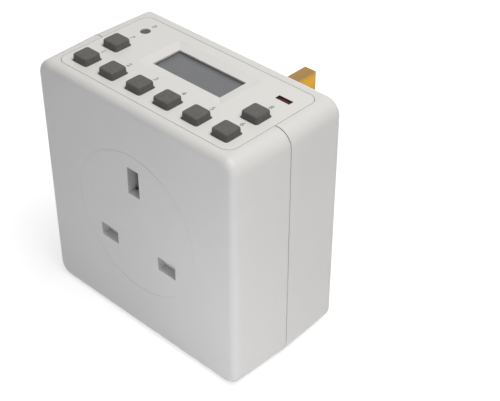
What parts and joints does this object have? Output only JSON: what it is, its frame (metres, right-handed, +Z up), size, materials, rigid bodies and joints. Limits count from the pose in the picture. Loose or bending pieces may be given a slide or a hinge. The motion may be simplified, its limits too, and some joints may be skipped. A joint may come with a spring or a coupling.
{
  "type": "digital timer switch",
  "caption": "Plug-through digital timer switch: three-pin plug behind, shuttered socket in front, square keys and a display on top.",
  "frame": {"origin": "centre of the box over all pieces, at the level of the flat bottom that it stands on", "axes": "+Z up, +X to the right seen from the socket side, +Y back from the socket face towards the plug pins"},
  "size_m": [0.0736, 0.0698, 0.075],
  "materials": {
    "white_case": "fine satin moulded",
    "white_panel": "fine satin moulded",
    "grey_rubber": "soft matt",
    "grey_silicone": "soft matt",
    "black_moulding": "matt moulded",
    "red_lamp": "clear dark red",
    "clear_lens": "clear polished",
    "display_glass": "smooth grey polariser",
    "white_frame": "satin moulded",
    "strip_rubber": "matt",
    "circuit_board": "green solder mask",
    "bright_can": "drawn bright",
    "battery_steel": "drawn bright",
    "zinc_steel": "zinc plated",
    "pin_brass": "drawn, lightly worn",
    "contact_brass": "rolled sheet",
    "black_sleeve": "satin moulded",
    "carrier_moulding": "satin moulded",
    "shutter_plastic": "satin moulded",
    "spring_steel": "drawn wire",
    "relay_shell": "moulded blue",
    "coil_copper": "enamelled winding",
    "yellow_case": "moulded",
    "capacitor_can": "sleeved can",
    "surge_coating": "dipped epoxy",
    "ribbon_grey": "flat ribbon"
  },
  "bodies": {
    "case": {"front_shell": "white_case", "rear_shell": "white_case", "control_panel": "white_panel", "keypad_mat": "grey_silicone", "reset_switch": "black_moulding", "indicator_led": "red_lamp", "display_window": "clear_lens", "lcd_glass": "display_glass", "lcd_frame": "white_frame", "lcd_connector_strips": "strip_rubber", "control_board": "circuit_board", "controller_chip": "black_moulding", "timing_crystal": "bright_can", "standby_battery": "battery_steel", "panel_screws": "zinc_steel", "earth_pin": "pin_brass", "live_pin": "pin_brass", "neutral_pin": "pin_brass", "live_pin_sleeve": "black_sleeve", "neutral_pin_sleeve": "black_sleeve", "pin_clamp": "black_moulding", "pin_clamp_screws": "zinc_steel", "case_screws": "zinc_steel", "socket_carrier": "carrier_moulding", "carrier_screws": "zinc_steel", "shutter_spring": "spring_steel", "earth_contact": "contact_brass", "live_contact": "contact_brass", "neutral_contact": "contact_brass", "earth_strap": "contact_brass", "neutral_strap": "contact_brass", "live_feed_strap": "contact_brass", "live_switched_strap": "contact_brass", "power_board": "circuit_board", "power_board_screws": "zinc_steel", "relay_base": "black_moulding", "relay_cover": "relay_shell", "relay_yoke": "zinc_steel", "relay_core": "zinc_steel", "relay_coil": "coil_copper", "relay_fixed_contact": "contact_brass", "dropper_capacitor": "yellow_case", "smoothing_capacitor": "capacitor_can", "surge_disc": "surge_coating", "rectifier_diodes": "black_moulding", "board_link": "ribbon_grey"},
    "key_clock": {"key_clock": "grey_rubber"},
    "key_timer": {"key_timer": "grey_rubber"},
    "key_countdown": {"key_countdown": "grey_rubber"},
    "key_week": {"key_week": "grey_rubber"},
    "key_hour": {"key_hour": "grey_rubber"},
    "key_minute": {"key_minute": "grey_rubber"},
    "key_random": {"key_random": "grey_rubber"},
    "key_manual": {"key_manual": "grey_rubber"},
    "reset_button": {"reset_button": "grey_rubber"},
    "socket_shutter": {"socket_shutter": "shutter_plastic"},
    "relay_armature": {"relay_armature": "zinc_steel", "relay_contact_spring": "contact_brass"}
  },
  "joints": [
    {"name": "key_clock_press", "type": "slide", "parent": "case", "child": "key_clock", "axis": [0, 0, -1], "range_m": [0, 0.0011], "stiffness_N_per_m": 900, "deforming": ["keypad_mat"]},
    {"name": "key_timer_press", "type": "slide", "parent": "case", "child": "key_timer", "axis": [0, 0, -1], "range_m": [0, 0.0011], "stiffness_N_per_m": 900, "deforming": ["keypad_mat"]},
    {"name": "key_countdown_press", "type": "slide", "parent": "case", "child": "key_countdown", "axis": [0, 0, -1], "range_m": [0, 0.0011], "stiffness_N_per_m": 900, "deforming": ["keypad_mat"]},
    {"name": "key_week_press", "type": "slide", "parent": "case", "child": "key_week", "axis": [0, 0, -1], "range_m": [0, 0.0011], "stiffness_N_per_m": 900, "deforming": ["keypad_mat"]},
    {"name": "key_hour_press", "type": "slide", "parent": "case", "child": "key_hour", "axis": [0, 0, -1], "range_m": [0, 0.0011], "stiffness_N_per_m": 900, "deforming": ["keypad_mat"]},
    {"name": "key_minute_press", "type": "slide", "parent": "case", "child": "key_minute", "axis": [0, 0, -1], "range_m": [0, 0.0011], "stiffness_N_per_m": 900, "deforming": ["keypad_mat"]},
    {"name": "key_random_press", "type": "slide", "parent": "case", "child": "key_random", "axis": [0, 0, -1], "range_m": [0, 0.0011], "stiffness_N_per_m": 900, "deforming": ["keypad_mat"]},
    {"name": "key_manual_press", "type": "slide", "parent": "case", "child": "key_manual", "axis": [0, 0, -1], "range_m": [0, 0.0011], "stiffness_N_per_m": 900, "deforming": ["keypad_mat"]},
    {"name": "reset_press", "type": "slide", "parent": "case", "child": "reset_button", "axis": [0, 0, -1], "range_m": [0, 0.0005], "stiffness_N_per_m": 1500},
    {"name": "shutter_slide", "type": "slide", "parent": "case", "child": "socket_shutter", "axis": [0, 0, -1], "range_m": [0, 0.0055], "stiffness_N_per_m": 300, "deforming": ["shutter_spring"]},
    {"name": "armature_pull", "type": "hinge", "parent": "case", "child": "relay_armature", "pos_m": [-0.0221, -0.0084, 0.0181], "axis": [0, 1, 0], "range_deg": [0, 4], "stiffness_Nm_per_rad": 0.05}
  ]
}
